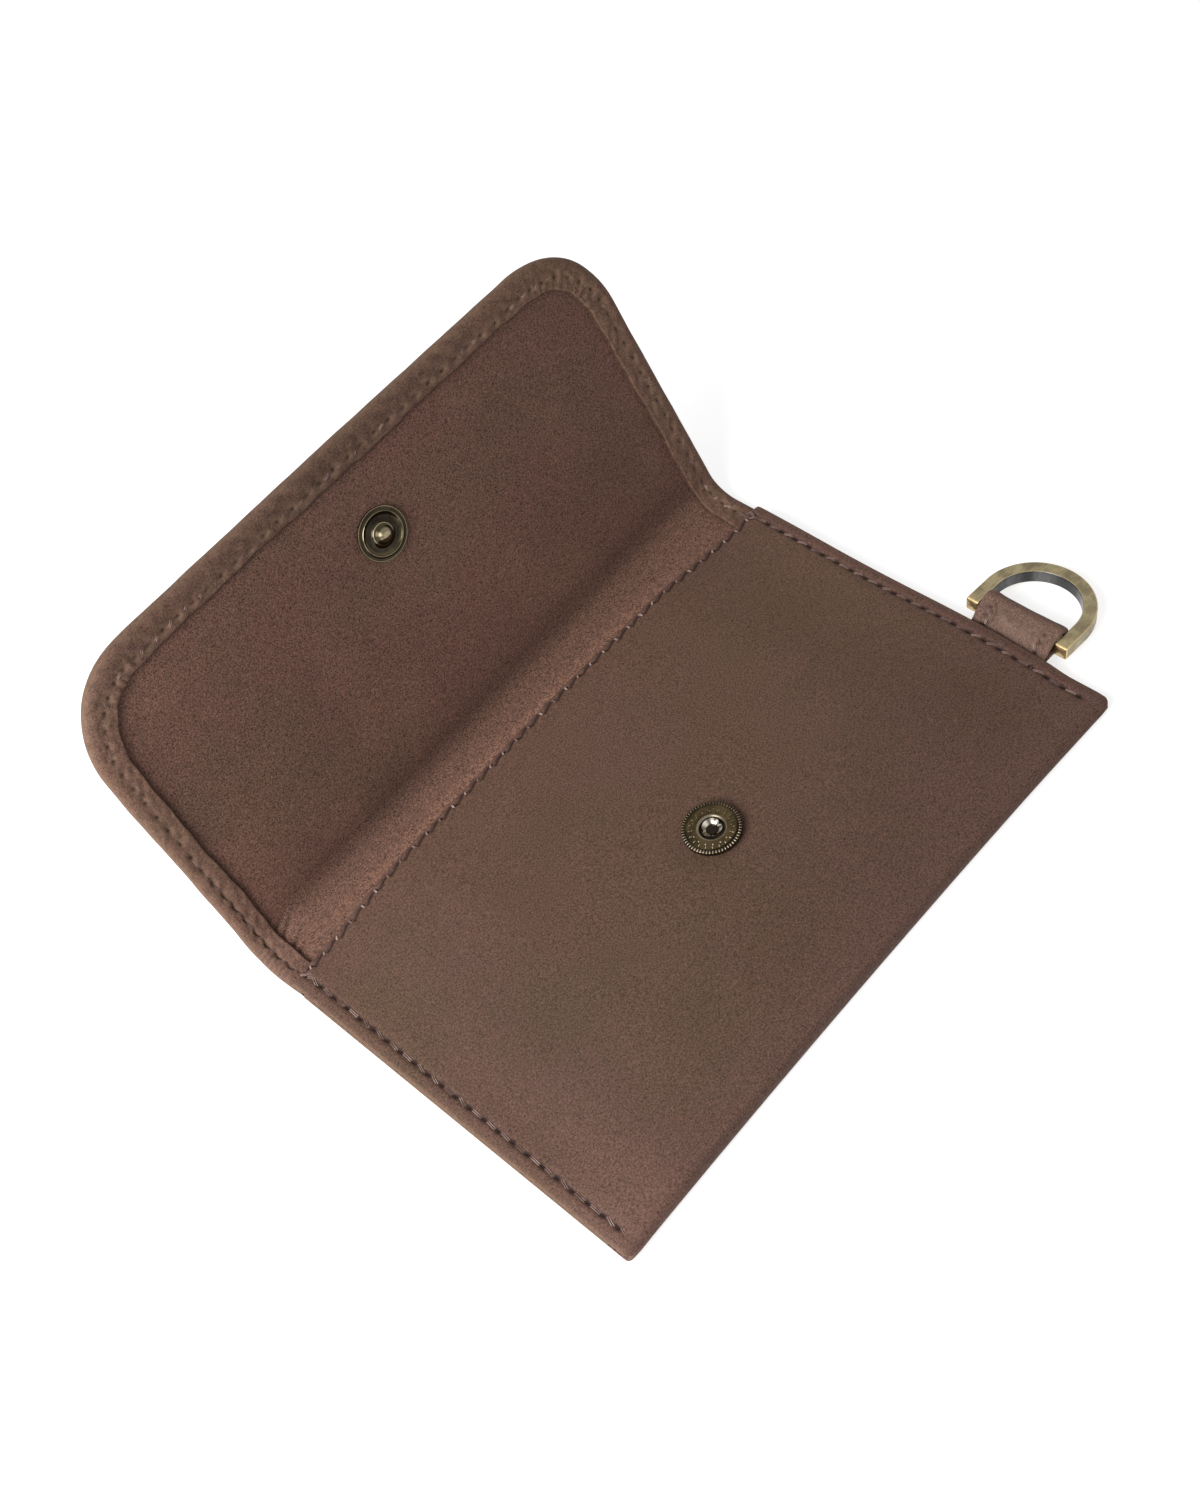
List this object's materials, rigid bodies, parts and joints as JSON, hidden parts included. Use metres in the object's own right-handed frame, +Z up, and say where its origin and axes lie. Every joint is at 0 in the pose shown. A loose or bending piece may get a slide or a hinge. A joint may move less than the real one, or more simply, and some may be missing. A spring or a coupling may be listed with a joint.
{
  "type": "fold-over wallet",
  "caption": "Fold-over leather wallet: open-topped pocket, raised flap with turned borders that folds over and closes with a press stud, and a swinging D-ring on a side tab.",
  "frame": {"origin": "middle of the pocket's back face, which lies on the table", "axes": "+X along the long side towards the D-ring, +Y from the bottom fold across the mouth towards the flap, +Z up out of the pocket's front"},
  "size_m": [0.139, 0.1086, 0.0575],
  "materials": {
    "outer_leather": "brown nubuck, matt, with a fine nap and light rubbed edges",
    "lining_leather": "brown lining leather, matt",
    "thread": "dull pinkish brown sewing thread",
    "antique_brass": "antique brass plating, brushed, rubbed bright on its edges",
    "spring_wire": "plain spring wire"
  },
  "bodies": {
    "pocket": {"pocket_front": "outer_leather", "pocket_back": "outer_leather", "pocket_lining": "lining_leather", "tab_loop": "outer_leather", "socket_body": "antique_brass", "socket_spring": "spring_wire", "socket_eyelet": "antique_brass", "right_seam_thread": "thread", "left_seam_thread": "thread", "mouth_seam_thread": "thread", "tab_thread_near": "thread", "tab_thread_far": "thread"},
    "spine": {"spine_leather": "outer_leather", "spine_lining": "lining_leather", "spine_thread_left": "thread", "spine_thread_right": "thread"},
    "flap": {"flap_leather": "outer_leather", "flap_lining": "lining_leather", "flap_border_thread": "thread", "stud_ball": "antique_brass", "stud_cap": "antique_brass"},
    "d_ring": {"d_ring_bow": "antique_brass", "d_ring_bar": "antique_brass"}
  },
  "joints": [
    {"name": "spine_fold", "type": "hinge", "parent": "pocket", "child": "spine", "pos_m": [0, 0.0387, 0.00225], "axis": [1, 0, 0], "range_deg": [0, 90]},
    {"name": "flap_fold", "type": "hinge", "parent": "spine", "child": "flap", "pos_m": [0, 0.0476, 0.00225], "axis": [1, 0, 0], "range_deg": [-69, 21]},
    {"name": "d_ring_swing", "type": "hinge", "parent": "pocket", "child": "d_ring", "pos_m": [0.065, -0.0172, 0.00345], "axis": [0, -1, 0], "range_deg": [-120, 120]}
  ]
}
